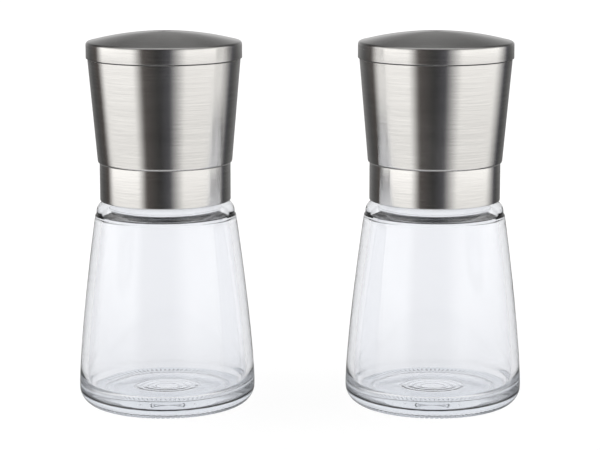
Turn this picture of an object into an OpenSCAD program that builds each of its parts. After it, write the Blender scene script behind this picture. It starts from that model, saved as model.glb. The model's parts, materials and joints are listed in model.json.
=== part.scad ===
// A pair of hand-turned spice mills: a glass jar below, a steel grinding head above, and a lift-off lid.
// The two mills are alike and stand side by side. Z = 0 is the table, and each has its own upright axis.
// At rest the lid is on, the collar is screwed home and the burrs are at their finest setting.

/* [Set] */
// Distance between the axes of the two mills
mill_spacing = 99; // [84:1:160]

/* [Glass jar] */
// Largest radius of the jar, near its foot
jar_base_r = 32.5; // [29:0.5:40]
// Height of the shoulder that the neck rises from
jar_height = 75.8; // [60:0.2:110]
// Thickness of the glass wall
jar_wall = 2.8; // [1.8:0.1:4]
// Thickness of the glass above the push-up in the foot
jar_floor = 4; // [3:0.5:7]
// Outer radius of the neck, under the thread
neck_r = 20.2; // [16.8:0.1:24.4]
// Thickness of the neck
neck_wall = 3.2; // [2.4:0.1:4.5]
// Height of the neck, from shoulder to rim
neck_height = 12.2; // [9.8:0.1:15]
// Rise of the jar's thread in one turn
thread_pitch = 4; // [3.5:0.1:5]
// Height that the jar's thread stands out of the neck
thread_depth = 1.1; // [0.8:0.05:1.4]

/* [Collar] */
// Thickness of the plastic round the collar's thread
collar_core_wall = 1.7; // [1.4:0.1:3]
// Thickness of the steel round the plastic
collar_wall = 0.5; // [0.4:0.05:0.9]
// Thickness of the collar's deck, over the jar's rim
deck_thickness = 1.2; // [1:0.1:3]
// Width of the deck, outside the tube that the head turns on
deck_width = 6; // [5:0.1:7]

/* [Head] */
// How far the head's lower edge stands out past the collar
head_step = 0.6; // [0.2:0.1:2]
// How much wider the head is under the lid than at the collar
head_flare = 3.3; // [1:0.1:6]
// Height of the steel head
head_height = 37.8; // [35:0.1:55]
// Thickness of the steel head
head_wall = 0.6; // [0.4:0.05:0.9]
// Thickness of the plastic lining of the head
core_wall = 1.5; // [1.2:0.1:2.2]

/* [Lid] */
// How far the lid stands out past the top of the head
lid_overhang = 0.55; // [0.3:0.05:1.5]
// Height of the lid's upright side
lid_side = 6.1; // [4:0.1:8]
// Rise of the lid's crown above its side
lid_crown = 3.5; // [1:0.1:5]
// Thickness of the lid's steel
lid_wall = 0.6; // [0.4:0.05:0.9]
// Depth of the plug that holds the lid in the head
plug_depth = 4; // [3:0.1:6]

/* [Grinding works] */
// Outer radius of the ceramic ring burr
burr_r = 13.5; // [12.5:0.1:16.2]
// Height of the ceramic ring burr
burr_height = 10.4; // [9:0.1:13]
// Gap between the burrs at the finest setting
grind_gap = 0.3; // [0.25:0.01:0.5]
// Fine teeth on each burr
fine_teeth = 24; // [18:1:30]
// Coarse teeth on the turning burr
coarse_teeth = 8; // [6:1:10]
// Width across the flats of the square spindle
spindle_square = 5; // [4:0.1:6]
// Rise of the adjusting thread in one turn
adjust_pitch = 1; // [0.7:0.05:1.25]
// Turns of the adjuster from finest to coarsest
adjust_turns = 1.5; // [1:0.1:2]
// Radius of the adjusting knob
knob_r = 6; // [5:0.1:8]
// Thickness of the spring's wire
spring_wire = 0.8; // [0.6:0.05:1]

/* [Clearances] */
// Gap between faces that are seated on each other
seat_gap = 0.05; // [0.02:0.01:0.1]
// Gap around pieces that turn or slide in each other
run_gap = 0.15; // [0.1:0.01:0.25]
// Gap between collar and head
turn_gap = 0.15; // [0.1:0.05:0.5]
// Gap that shows between head and lid, and between jar and collar
show_gap = 0.3; // [0.2:0.05:0.6]

/* [Hidden] */
MILLS = ["salt", "pepper"];
PIECES = [
    "jar", "jar_seal", "collar_sleeve", "collar_core", "slip_washer", "retaining_ring", "spindle",
    "spring", "spring_washer", "inner_burr", "adjuster_knob", "outer_burr", "burr_housing",
    "burr_retainer", "head_core", "head_sleeve", "lid_cap", "lid_liner", "lid_seal"
];
$fn = 96;

steel = [0.78, 0.77, 0.76];
black_plastic = [0.09, 0.09, 0.1];
white_plastic = [0.9, 0.9, 0.88];
ceramic = [0.95, 0.94, 0.9];
silicone = [0.82, 0.84, 0.85];
wire_steel = [0.7, 0.71, 0.73];
clear_glass = [0.85, 0.9, 0.95, 0.35];

// Jar, from the table up
foot_round = 6.5;                                 // rounding at the foot
bearing_width = 2.5;                             // flat ring that the jar stands on
bearing_r = jar_base_r - foot_round;             // outer edge of that ring
push_up = 2;                                     // rise of the foot's middle
floor_crown = 0.6;                               // rise of the jar's floor in its middle
mark_r = 12.6;                                   // round step in the push-up
mark_step = 0.6;
wall_start = 8;                                  // the wall is upright below this
wall_bend = 1.35;                                // how the wall's curve starts: 1 is a straight cone
bead_height = 5;                                 // rounded bead between the wall and the neck
bead_round = 3.8;
bead_groove = 0.25;                              // depth of the groove under the bead
shoulder_out = 1.9;                              // the wall's top stands out this far past the collar
bead_out = 1.4;                                  // and the bead this far
groove_z = jar_height - bead_height;
rim_z = jar_height + neck_height;
rim_round = 0.9;
neck_bore_r = neck_r - neck_wall;
thread_crest_r = neck_r + thread_depth;
thread_z = jar_height + 2.2;                     // centre of the thread's first turn
thread_turns = (neck_height - 5.8) / thread_pitch;
thread_root_width = 0.6 * thread_pitch;
thread_crest_width = 0.25 * thread_pitch;
thread_steps = 36;                               // steps in one turn
thread_run_out = 6;                              // steps over which each end fades
thread_sink = 0.3;                               // how deep a thread's root is sunk in its wall

// Seal between the jar's rim and the collar's deck
seal_thickness = 0.8;
seal_in_r = neck_bore_r + 0.3;
seal_out_r = neck_r + 0.6;

// Spindle, and the spring's seat in the turning burr
flat_gap = 0.1;                                  // around the spindle's flats
spindle_corner_r = spindle_square / sqrt(2);
foot_r = spindle_corner_r + 1.7;
foot_thickness = 1.7;
screw_r = spindle_square / 2 - 0.05;
seat_r = spindle_corner_r + 1.75;
seat_depth = 1.5;
spring_washer_thickness = 0.5;
spring_r = seat_r - 0.3 - spring_wire / 2;
spring_coils = 7;
spring_steps = 16;                               // steps in one coil
spring_sides = 6;

// Collar
collar_z = jar_height + show_gap + 0.1;
collar_bore_r = thread_crest_r + 0.45;
collar_core_r = collar_bore_r + collar_core_wall;
collar_r = collar_core_r + seat_gap + collar_wall;
collar_thread_crest_r = neck_r + 0.35;
collar_thread_drop = 0.425 * thread_pitch;       // the collar's thread lies under the jar's
collar_thread_start = 160;                       // degrees along the jar's thread
deck_z = rim_z + seal_thickness + 2 * seat_gap;
collar_top = deck_z + deck_thickness;
tube_r = collar_core_r - deck_width;             // tube that the head turns on
tube_wall = 1.8;
tube_in_r = tube_r - tube_wall;
tube_top = collar_top + 7.4;
groove_depth = 0.8;
arm_count = 3;
arm_width = 3;
arm_height = 3;
hub_r = spindle_corner_r + 2.5;
hub_z = deck_z + 0.2;
hub_top = hub_z + 5;
shoulder_r = collar_r + shoulder_out;
bead_r = collar_r + bead_out;

// Head, from the collar up
head_bottom_r = collar_r + head_step;
head_top_r = head_bottom_r + head_flare;
head_z = collar_top + turn_gap;
head_top = head_z + head_height;
flange_z = head_z + head_wall + seat_gap;
flange_thickness = 2.4;
flange_bore_r = tube_r + run_gap;
washer_out_r = collar_core_r - 1.4;
ring_z = flange_z + flange_thickness + run_gap;  // retaining ring over the flange
ring_thickness = 0.8;
ring_out_r = tube_r + 1.6;
core_rim_z = head_top + show_gap + seat_gap;
ledge_width = 1.6;
ledge_thickness = 1.5;
key_count = 3;
key_width = 3;
key_height = 2;

// The burrs hang below the lid, with room over them for the knob and its travel
adjust_travel = adjust_pitch * adjust_turns;
knob_height = 6;
knob_room = 0.5;
knob_base_height = 2.6;
wing_width = 3.4;
burr_top = head_top - knob_height - adjust_travel - knob_room;
burr_z = burr_top - burr_height;
knob_z = burr_top + seat_gap;
screw_top = knob_z + 4.2;
square_top = burr_top - 1.6;
ledge_z = burr_top - 2.5;
pocket_r = burr_r + 0.1;
pocket_wall = 2;
throat_r = burr_r - 1.7;
funnel_r = tube_r + 0.5;
funnel_wall = 1.5;
funnel_z = ring_z + ring_thickness + 1;
lug_count = 3;
lug_width = 4;
lug_height = 3;
lug_length = 1.1;
outlet_height = 4;                               // fine teeth, where the spice leaves
outlet_angle = 24;
outlet_r = burr_r - 1.6;
waist_r = outlet_r - outlet_height * tan(outlet_angle);
inlet_r = waist_r - 0.4;
cone_foot_z = burr_z - 1.1;
cone_foot_r = seat_r + 1.3;
tooth_skew = 18;                                 // lean of the teeth, in degrees
fine_depth = 0.7;
fine_width = 1.9;
coarse_depth = 1.9;
coarse_width = 4.2;

// Lid
lid_r = head_top_r + lid_overhang;
lid_z = core_rim_z + seat_gap;
lid_round = 1.1;
plug_gap = 0.55;                                 // between plug and lining, bridged by the seal
plug_wall = 1.4;
seal_groove = 0.65;
liner_thickness = 1.4;

// Radii on sloping walls, at a height
function head_r(z) = head_bottom_r + (head_top_r - head_bottom_r) * (z - head_z) / head_height;
function core_out_r(z) = head_r(z) - head_wall - seat_gap;
function core_in_r(z) = core_out_r(z) - core_wall;
function jar_r(z) = jar_base_r - (jar_base_r - shoulder_r)
    * pow(max(0, z - wall_start) / (groove_z - wall_start), wall_bend);

// Points of an arc from one angle to another
function arc(x, y, r, from, to, steps = 8) =
    [for (i = [0:steps]) let (a = from + (to - from) * i / steps) [x + r * cos(a), y + r * sin(a)]];

// Share of a thread's full depth at a step, so that both ends fade out
function fade(i, last) = max(0.08, min(1, i / thread_run_out, (last - i) / thread_run_out));

// A helical ridge. It stands out of a wall of radius root_r to crest_r, which may be inside or outside it.
module thread_ridge(root_r, crest_r, z, from, to) {
    last = round((to - from) / 360 * thread_steps);
    side = sign(crest_r - root_r);
    sunk_r = root_r - side * thread_sink;
    points = [
        for (i = [0:last])
            let (
                a = from + (to - from) * i / last,
                rise = z + thread_pitch * a / 360,
                tip_r = root_r + (crest_r - root_r) * fade(i, last)
            )
            for (corner = [
                [sunk_r, -thread_root_width / 2],
                [tip_r, -thread_crest_width / 2],
                [tip_r, thread_crest_width / 2],
                [sunk_r, thread_root_width / 2]
            ])
                [corner[0] * cos(a), corner[0] * sin(a), rise + corner[1]]
    ];
    sides = [
        for (i = [0:last - 1]) for (k = [0:3])
            let (p = 4 * i + k, q = 4 * i + (k + 1) % 4)
            for (face = [[p, q, q + 4], [p, q + 4, p + 4]]) face
    ];
    ends = [[3, 2, 1, 0], [4 * last, 4 * last + 1, 4 * last + 2, 4 * last + 3]];
    faces = concat(sides, ends);
    polyhedron(points, side > 0 ? faces : [for (f = faces) [for (k = [len(f) - 1:-1:0]) f[k]]]);
}

// A straight V-shaped groove in a cone, between two points of its outline. A negative depth cuts inwards.
module tooth_groove(low, high, depth, width, skew) {
    run = high - low;
    over = 0.6;
    mouth = width * (1 + over / abs(depth));
    translate([(low[0] + high[0]) / 2, 0, (low[1] + high[1]) / 2])
        rotate([skew, 0, 0])
            rotate([0, atan2(run[0], run[1]), 0])
                linear_extrude(height = norm(run) * 1.35, center = true)
                    polygon([
                        [depth, 0], [-sign(depth) * over, mouth / 2], [-sign(depth) * over, -mouth / 2]
                    ]);
}

module square_bar(width, z, top) {
    translate([-width / 2, -width / 2, z])
        cube([width, width, top - z]);
}

module ring(in_r, out_r, z, height) {
    translate([0, 0, z])
        difference() {
            cylinder(r = out_r, h = height);
            translate([0, 0, -1])
                cylinder(r = in_r, h = height + 2);
        }
}

// Blown glass jar with a threaded neck, a rounded bead under the collar and a push-up in its foot
module jar() {
    wall_steps = 22;
    inner_top = groove_z - 3;
    inner_low = push_up + jar_floor + 5;
    outside = concat(
        [[0, push_up], [mark_r - mark_step, push_up], [mark_r, push_up - mark_step]],
        [[bearing_r - bearing_width - 1.5, 0.8], [bearing_r - bearing_width, 0]],
        arc(bearing_r, foot_round, foot_round, -90, 0),
        [for (i = [0:wall_steps])
            let (z = wall_start + (groove_z - wall_start) * i / wall_steps) [jar_r(z), z]],
        [[bead_r - bead_groove, groove_z + 0.35]],
        arc(bead_r - bead_round, jar_height - bead_round, bead_round, -8, 90),
        [[neck_r + 0.6, jar_height], [neck_r, jar_height + 0.6]],
        arc(neck_r - rim_round, rim_z - rim_round, rim_round, 0, 90, 5)
    );
    shoulder_steps = 12;
    neck_low = jar_height + 2;
    inside = concat(
        arc(neck_bore_r + rim_round, rim_z - rim_round, rim_round, 90, 180, 5),
        [for (i = [shoulder_steps:-1:0])
            let (u = i / shoulder_steps, wide = jar_r(inner_top) - jar_wall)
            [wide + (neck_bore_r - wide) * (1 - cos(180 * u)) / 2, inner_top + (neck_low - inner_top) * u]],
        [for (i = [wall_steps - 1:-1:0])
            let (z = inner_low + (inner_top - inner_low) * i / wall_steps) [jar_r(z) - jar_wall, z]],
        arc(jar_base_r - jar_wall - 5, inner_low, 5, -10, -80, 6),
        [[mark_r, push_up + jar_floor + floor_crown / 2], [0, push_up + jar_floor + floor_crown]]
    );
    color(clear_glass)
        union() {
            rotate_extrude()
                polygon(concat(outside, inside));
            thread_ridge(neck_r, thread_crest_r, thread_z, 0, 360 * thread_turns);
        }
}

// Silicone seal between the jar's rim and the collar's deck
module jar_seal() {
    color(silicone)
        ring(seal_in_r, seal_out_r, rim_z + seat_gap, seal_thickness);
}

// Steel band around the collar, turned in at its lower edge
module collar_sleeve() {
    lip_r = collar_bore_r + 0.1;
    edge = 0.3;
    color(steel)
        rotate_extrude()
            polygon([
                [lip_r, collar_z], [collar_r - edge, collar_z], [collar_r, collar_z + edge],
                [collar_r, collar_top - edge / 2], [collar_r - edge / 2, collar_top],
                [collar_r - collar_wall, collar_top],
                [collar_r - collar_wall, collar_z + collar_wall], [lip_r, collar_z + collar_wall]
            ]);
}

// Plastic collar: jar thread below, three-armed spider and turning tube above
module collar_core() {
    groove_low = ring_z - seat_gap;
    groove_high = ring_z + ring_thickness + seat_gap;
    color(black_plastic)
        difference() {
            union() {
                rotate_extrude()
                    polygon([
                        [collar_bore_r, collar_z + collar_wall + seat_gap],
                        [collar_core_r, collar_z + collar_wall + seat_gap],
                        [collar_core_r, collar_top], [tube_r, collar_top],
                        [tube_r, groove_low], [tube_r - groove_depth, groove_low],
                        [tube_r - groove_depth, groove_high], [tube_r, groove_high],
                        [tube_r, tube_top - 0.6], [tube_r - 0.6, tube_top],
                        [tube_in_r, tube_top], [tube_in_r, deck_z], [collar_bore_r, deck_z]
                    ]);
                for (i = [0:arm_count - 1])
                    rotate([0, 0, i * 360 / arm_count])
                        translate([0, -arm_width / 2, hub_z])
                            cube([tube_in_r + tube_wall / 2, arm_width, arm_height]);
                translate([0, 0, hub_z])
                    cylinder(r = hub_r, h = hub_top - hub_z);
                thread_ridge(collar_bore_r, collar_thread_crest_r, thread_z - collar_thread_drop,
                    collar_thread_start, 360 * thread_turns);
            }
            square_bar(spindle_square + 2 * flat_gap, hub_z - 1, hub_top + 1);
        }
}

// Nylon washer that the head slides round on
module slip_washer() {
    color(white_plastic)
        ring(flange_bore_r + 0.05, washer_out_r, collar_top + seat_gap,
            flange_z - collar_top - 2 * seat_gap);
}

// Split spring-steel ring that holds the head down on the collar's tube
module retaining_ring() {
    split = 24;
    ring_in_r = tube_r - groove_depth + 0.1;
    color(wire_steel)
        translate([0, 0, ring_z])
            rotate([0, 0, split / 2])
                rotate_extrude(angle = 360 - split)
                    translate([ring_in_r, 0])
                        square([ring_out_r - ring_in_r, ring_thickness]);
}

// Square steel spindle with a foot under the hub and a screwed end for the adjuster
module spindle() {
    foot_top = hub_z - seat_gap;
    color(wire_steel)
        union() {
            translate([0, 0, foot_top - foot_thickness])
                cylinder(r = foot_r, h = foot_thickness);
            square_bar(spindle_square, foot_top - foot_thickness / 2, square_top);
            translate([0, 0, square_top - 1])
                cylinder(r = screw_r, h = screw_top - square_top + 1);
        }
}

// Height of the spring's wire after some turns: the first and last turns lie close
function spring_rise(turn, height) =
    let (close = 1.15 * spring_wire, open = (height - 2 * close) / (spring_coils - 2))
    turn < 1 ? close * turn
    : turn > spring_coils - 1 ? height - close * (spring_coils - turn)
    : close + open * (turn - 1);

// Compression spring between the hub and the turning burr
module spring() {
    wire_r = spring_wire / 2;
    low = hub_top + seat_gap + wire_r;
    high = cone_foot_z + seat_depth - spring_washer_thickness - 2 * seat_gap - wire_r;
    last = spring_coils * spring_steps;
    points = [
        for (i = [0:last])
            let (a = 360 * i / spring_steps, z = low + spring_rise(i / spring_steps, high - low))
            for (k = [0:spring_sides - 1])
                let (b = 360 * k / spring_sides, r = spring_r + wire_r * cos(b))
                [r * cos(a), r * sin(a), z + wire_r * sin(b)]
    ];
    sides = [
        for (i = [0:last - 1]) for (k = [0:spring_sides - 1])
            let (p = spring_sides * i + k, q = spring_sides * i + (k + 1) % spring_sides)
            for (face = [[q, p, q + spring_sides], [q + spring_sides, p, p + spring_sides]]) face
    ];
    first_end = [for (k = [0:spring_sides - 1]) k];
    last_end = [for (k = [spring_sides - 1:-1:0]) spring_sides * last + k];
    color(wire_steel)
        polyhedron(points, concat(sides, [first_end, last_end]));
}

// Steel washer that the spring pushes on
module spring_washer() {
    color(wire_steel)
        ring(spindle_corner_r + 0.15, seat_r - 0.1,
            cone_foot_z + seat_depth - spring_washer_thickness - seat_gap, spring_washer_thickness);
}

// Ceramic cone burr, keyed to the spindle: coarse teeth below, fine teeth at the outlet
module inner_burr() {
    foot = [cone_foot_r, cone_foot_z];
    waist = [waist_r - grind_gap, burr_top - outlet_height];
    top = [outlet_r - grind_gap, burr_top];
    color(ceramic)
        difference() {
            rotate_extrude()
                polygon([[0, foot[1]], foot, waist, top, [0, burr_top]]);
            for (i = [0:coarse_teeth - 1])
                rotate([0, 0, i * 360 / coarse_teeth])
                    tooth_groove(foot + [1, 0], waist, -coarse_depth, coarse_width, tooth_skew);
            for (i = [0:fine_teeth - 1])
                rotate([0, 0, i * 360 / fine_teeth])
                    tooth_groove(waist, top, -fine_depth, fine_width, tooth_skew);
            square_bar(spindle_square + 2 * flat_gap, cone_foot_z - 1, burr_top + 1);
            translate([0, 0, cone_foot_z - 1])
                cylinder(r = seat_r, h = seat_depth + 1);
        }
}

// Adjusting knob: a round base with a finger wing, on the spindle's screwed end
module adjuster_knob() {
    wing_top = knob_z + knob_height;
    color(black_plastic)
        difference() {
            union() {
                rotate_extrude()
                    polygon([
                        [0, knob_z], [knob_r, knob_z], [knob_r, knob_z + knob_base_height - 0.5],
                        [knob_r - 0.5, knob_z + knob_base_height], [0, knob_z + knob_base_height]
                    ]);
                intersection() {
                    translate([-knob_r, -wing_width / 2, knob_z + 0.5])
                        cube([2 * knob_r, wing_width, knob_height - 0.5]);
                    cylinder(r = knob_r - 0.4, h = wing_top);
                }
                translate([0, 0, knob_z + 0.5])
                    cylinder(r = screw_r + run_gap + 1.1, h = knob_height - 0.5);
            }
            translate([0, 0, knob_z - 1])
                cylinder(r = screw_r + run_gap, h = screw_top - knob_z + 1 + run_gap);
        }
}

// Ceramic ring burr with three lugs that key it to its housing
module outer_burr() {
    inlet = [inlet_r, burr_z];
    waist = [waist_r, burr_top - outlet_height];
    top = [outlet_r, burr_top];
    color(ceramic)
        difference() {
            union() {
                rotate_extrude()
                    polygon([inlet, [burr_r, burr_z], [burr_r, burr_top], top, waist]);
                for (i = [0:lug_count - 1])
                    rotate([0, 0, i * 360 / lug_count])
                        translate([burr_r - 1, -lug_width / 2, burr_top - lug_height])
                            cube([lug_length + 1, lug_width, lug_height]);
            }
            for (i = [0:fine_teeth - 1])
                rotate([0, 0, i * 360 / fine_teeth])
                    tooth_groove(waist, top, fine_depth, fine_width, -tooth_skew);
            for (i = [0:fine_teeth / 2 - 1])
                rotate([0, 0, (i * 2 + 0.5) * 360 / fine_teeth])
                    tooth_groove(inlet, waist, 1.4 * fine_depth, 1.4 * fine_width, -tooth_skew);
        }
}

// Plastic housing: holds the ring burr, with a funnel below it and a shallow dish above
module burr_housing() {
    tube_out_r = pocket_r + pocket_wall;
    dish_z = ledge_z + ledge_thickness + seat_gap;
    dish_edge_r = core_in_r(dish_z) - run_gap;
    lip_z = burr_top + 0.4;
    funnel_turn = funnel_z + 4;
    color(black_plastic)
        difference() {
            rotate_extrude()
                polygon([
                    [pocket_r, burr_z - seat_gap], [pocket_r, lip_z + 0.6], [pocket_r + 1.6, lip_z + 0.6],
                    [tube_out_r, lip_z], [dish_edge_r - 0.6, dish_z + 2.4], [dish_edge_r, dish_z + 1.8],
                    [dish_edge_r, dish_z], [tube_out_r, dish_z],
                    [tube_out_r, burr_z - 1], [funnel_r + funnel_wall, funnel_turn],
                    [funnel_r + funnel_wall, funnel_z], [funnel_r, funnel_z], [funnel_r, funnel_turn - 0.4],
                    [throat_r, burr_z - 2], [throat_r, burr_z - seat_gap]
                ]);
            for (i = [0:lug_count - 1])
                rotate([0, 0, i * 360 / lug_count])
                    translate([burr_r - 1, -lug_width / 2 - run_gap, burr_top - lug_height - run_gap])
                        cube([lug_length + 1 + run_gap, lug_width + 2 * run_gap, lug_height + 3]);
            for (i = [0:key_count - 1])
                rotate([0, 0, (i + 0.5) * 360 / key_count])
                    translate([dish_edge_r - ledge_width, -key_width / 2 - run_gap, dish_z - 1])
                        cube([ledge_width + 1, key_width + 2 * run_gap, key_height + 3]);
            ring(pocket_r - 1, pocket_r + 1 + run_gap, burr_top + seat_gap, 2);
        }
}

// Plastic ring that snaps in over the ring burr
module burr_retainer() {
    color(black_plastic)
        ring(outlet_r + 0.4, pocket_r + 1, burr_top + 2 * seat_gap, 0.8);
}

// Plastic lining of the head: turning flange below, ledge for the burr housing, rim for the lid
module head_core() {
    dish_z = ledge_z + ledge_thickness;
    flange_top = flange_z + flange_thickness;
    color(black_plastic)
        union() {
            rotate_extrude()
                polygon([
                    [flange_bore_r, flange_z], [core_out_r(flange_z), flange_z],
                    [core_out_r(head_top), head_top], [core_out_r(head_top), core_rim_z - 0.15],
                    [core_out_r(head_top) - 0.15, core_rim_z], [core_in_r(head_top), core_rim_z],
                    [core_in_r(dish_z), dish_z], [core_in_r(dish_z) - ledge_width, dish_z],
                    [core_in_r(dish_z) - ledge_width, ledge_z + 0.6],
                    [core_in_r(ledge_z - 1), ledge_z - 1],
                    [core_in_r(flange_top), flange_top], [flange_bore_r, flange_top]
                ]);
            for (i = [0:key_count - 1])
                rotate([0, 0, (i + 0.5) * 360 / key_count])
                    translate([core_in_r(dish_z) - ledge_width + run_gap, -key_width / 2, dish_z - 0.2])
                        cube([ledge_width + 0.6, key_width, key_height + 0.2]);
        }
}

// Tapered steel head, turned in at its lower edge
module head_sleeve() {
    lip_r = washer_out_r + 0.8;
    edge = 0.5;
    top_edge = 0.2;
    color(steel)
        rotate_extrude()
            polygon(concat(
                [[lip_r, head_z]],
                arc(head_r(head_z) - edge, head_z + edge, edge, -90, 0, 4),
                [
                    [head_r(head_top - top_edge), head_top - top_edge],
                    [head_r(head_top) - top_edge, head_top],
                    [head_r(head_top) - head_wall, head_top],
                    [head_r(head_z + head_wall) - head_wall, head_z + head_wall],
                    [lip_r, head_z + head_wall]
                ]
            ));
}

// Steel lid: upright side, rounded edge and a shallow crown
module lid_cap() {
    side_top = lid_z + lid_side;
    flat_r = lid_r - lid_round;
    in_round = lid_round - lid_wall;
    hem = 0.2;
    crown_r = (flat_r * flat_r + lid_crown * lid_crown) / (2 * lid_crown);
    crown_half = asin(flat_r / crown_r);
    crown_z = side_top + lid_crown - crown_r;
    color(steel)
        rotate_extrude()
            polygon(concat(
                [[lid_r - lid_wall, lid_z], [lid_r - hem, lid_z], [lid_r, lid_z + hem]],
                arc(flat_r, side_top - lid_round, lid_round, 0, 90 - crown_half, 6),
                arc(0, crown_z, crown_r, 90 - crown_half, 90, 14),
                arc(0, crown_z, crown_r - lid_wall, 90, 90 - crown_half, 14),
                arc(flat_r, side_top - lid_round, in_round, 90 - crown_half, 0, 4)
            ));
}

// Plastic plug in the lid, with a groove for its seal
module lid_liner() {
    plug_r = core_in_r(lid_z - plug_depth) - plug_gap;
    plug_low = lid_z - plug_depth;
    seal_low = plug_low + 1.1;
    seal_high = seal_low + 1.5;
    disc_r = lid_r - lid_wall - seat_gap;
    color(black_plastic)
        rotate_extrude()
            polygon([
                [plug_r - plug_wall, plug_low], [plug_r - 0.4, plug_low], [plug_r, plug_low + 0.4],
                [plug_r, seal_low], [plug_r - seal_groove, seal_low],
                [plug_r - seal_groove, seal_high], [plug_r, seal_high],
                [plug_r, lid_z], [disc_r, lid_z], [disc_r, lid_z + liner_thickness + 1.6],
                [disc_r - 1, lid_z + liner_thickness + 1.6], [disc_r - 1, lid_z + liner_thickness],
                [0, lid_z + liner_thickness], [0, lid_z + 0.2], [plug_r - plug_wall, lid_z + 0.2]
            ]);
}

// Silicone ring that grips the head's lining
module lid_seal() {
    plug_r = core_in_r(lid_z - plug_depth) - plug_gap;
    seal_low = lid_z - plug_depth + 1.1 + seat_gap;
    height = 1.5 - 2 * seat_gap;
    swell = plug_gap - run_gap - height / 2;
    color(silicone)
        rotate_extrude()
            polygon(concat(
                [[plug_r - seal_groove + seat_gap, seal_low]],
                arc(plug_r + swell, seal_low + height / 2, height / 2, -90, 90, 8),
                [[plug_r - seal_groove + seat_gap, seal_low + height]]
            ));
}

for (mill = MILLS)
    translate([(mill == "salt" ? -1 : 1) * mill_spacing / 2, 0, 0]) {
        jar();
        jar_seal();
        collar_sleeve();
        collar_core();
        slip_washer();
        retaining_ring();
        spindle();
        spring();
        spring_washer();
        inner_burr();
        adjuster_knob();
        outer_burr();
        burr_housing();
        burr_retainer();
        head_core();
        head_sleeve();
        lid_cap();
        lid_liner();
        lid_seal();
    }
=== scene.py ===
# Salt and pepper mills: glass jars, steel heads and ceramic grinding works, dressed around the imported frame
import json
import math

import bpy
from mathutils import Matrix, Vector

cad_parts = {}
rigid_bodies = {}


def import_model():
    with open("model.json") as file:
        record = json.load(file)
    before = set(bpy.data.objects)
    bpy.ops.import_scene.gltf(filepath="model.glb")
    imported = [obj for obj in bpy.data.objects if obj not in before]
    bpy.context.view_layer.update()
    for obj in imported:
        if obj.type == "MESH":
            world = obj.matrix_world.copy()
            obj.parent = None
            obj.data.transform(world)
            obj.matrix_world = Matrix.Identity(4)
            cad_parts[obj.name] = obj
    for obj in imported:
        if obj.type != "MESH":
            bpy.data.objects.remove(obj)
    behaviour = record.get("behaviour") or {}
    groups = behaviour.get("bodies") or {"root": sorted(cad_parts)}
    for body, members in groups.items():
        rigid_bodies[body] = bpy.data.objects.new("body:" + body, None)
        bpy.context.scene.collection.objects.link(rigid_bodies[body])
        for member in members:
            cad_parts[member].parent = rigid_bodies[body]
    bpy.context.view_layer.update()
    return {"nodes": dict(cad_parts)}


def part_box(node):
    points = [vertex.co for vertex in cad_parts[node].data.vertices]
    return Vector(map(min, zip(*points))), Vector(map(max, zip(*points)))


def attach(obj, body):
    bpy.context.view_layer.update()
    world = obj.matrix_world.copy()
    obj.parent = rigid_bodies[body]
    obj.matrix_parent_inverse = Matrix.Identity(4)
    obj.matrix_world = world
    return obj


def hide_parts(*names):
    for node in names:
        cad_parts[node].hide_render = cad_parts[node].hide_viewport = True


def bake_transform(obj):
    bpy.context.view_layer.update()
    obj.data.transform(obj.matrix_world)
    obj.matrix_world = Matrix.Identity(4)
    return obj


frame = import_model()
print("frame loaded:", len(frame["nodes"]), "nodes")

mm = 0.001
mergeReach = 0.000002           # points closer than this, in metres, are one
cleanReach = 0.000005           # the same after shapes are joined or cut
onAxis = 1e-6
millNames = ["salt", "pepper"]
saltLow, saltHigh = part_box("salt_jar")
pepperLow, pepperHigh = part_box("pepper_jar")
saltX = (saltLow.x + saltHigh.x) / 2
millStep = (pepperLow.x + pepperHigh.x) / 2 - saltX       # from one mill's axis to the other's


def deselectAll():
    if bpy.context.mode != "OBJECT":
        bpy.ops.object.mode_set(mode="OBJECT")
    for item in bpy.context.view_layer.objects:
        item.select_set(False)


def makeActive(piece):
    deselectAll()
    piece.select_set(True)
    bpy.context.view_layer.objects.active = piece


def applyAll(piece):
    makeActive(piece)
    for modifier in list(piece.modifiers):
        bpy.ops.object.modifier_apply(modifier=modifier.name)


def settle(piece):
    # place, turn and size go into the mesh, and the object sits at the origin
    makeActive(piece)
    bpy.ops.object.transform_apply(location=True, rotation=True, scale=True)


def smooth(piece, degrees=35):
    makeActive(piece)
    bpy.ops.object.shade_smooth_by_angle(angle=math.radians(degrees))


spans = {}


def nodeSpan(node):
    # outer radius, lowest and highest point of a salt mill's node, in millimetres
    if node not in spans:
        low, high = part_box("salt_" + node)
        spans[node] = ((high.y - low.y) / 2 / mm, low.z / mm, high.z / mm)
    return spans[node]


def arc(x, z, radius, start, end, steps=6):
    return [(x + radius * math.cos(math.radians(start + (end - start) * i / steps)),
             z + radius * math.sin(math.radians(start + (end - start) * i / steps)))
            for i in range(steps + 1)]


def softened(corners, closed=True, steps=3):
    # corners are (radius, height) or (radius, height, rounding); a rounding becomes a small arc
    result = []
    count = len(corners)
    for i, corner in enumerate(corners):
        here = Vector(corner[:2])
        rounding = corner[2] if len(corner) > 2 else 0
        if not rounding or (not closed and i in (0, count - 1)):
            result.append(tuple(here))
            continue
        before = Vector(corners[i - 1][:2]) - here
        after = Vector(corners[(i + 1) % count][:2]) - here
        reach = min(rounding, before.length * 0.49, after.length * 0.49)
        first = here + before.normalized() * reach
        last = here + after.normalized() * reach
        for k in range(steps + 1):
            t = k / steps
            result.append(tuple(first * (1 - t) ** 2 + here * 2 * t * (1 - t) + last * t * t))
    return result


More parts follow.
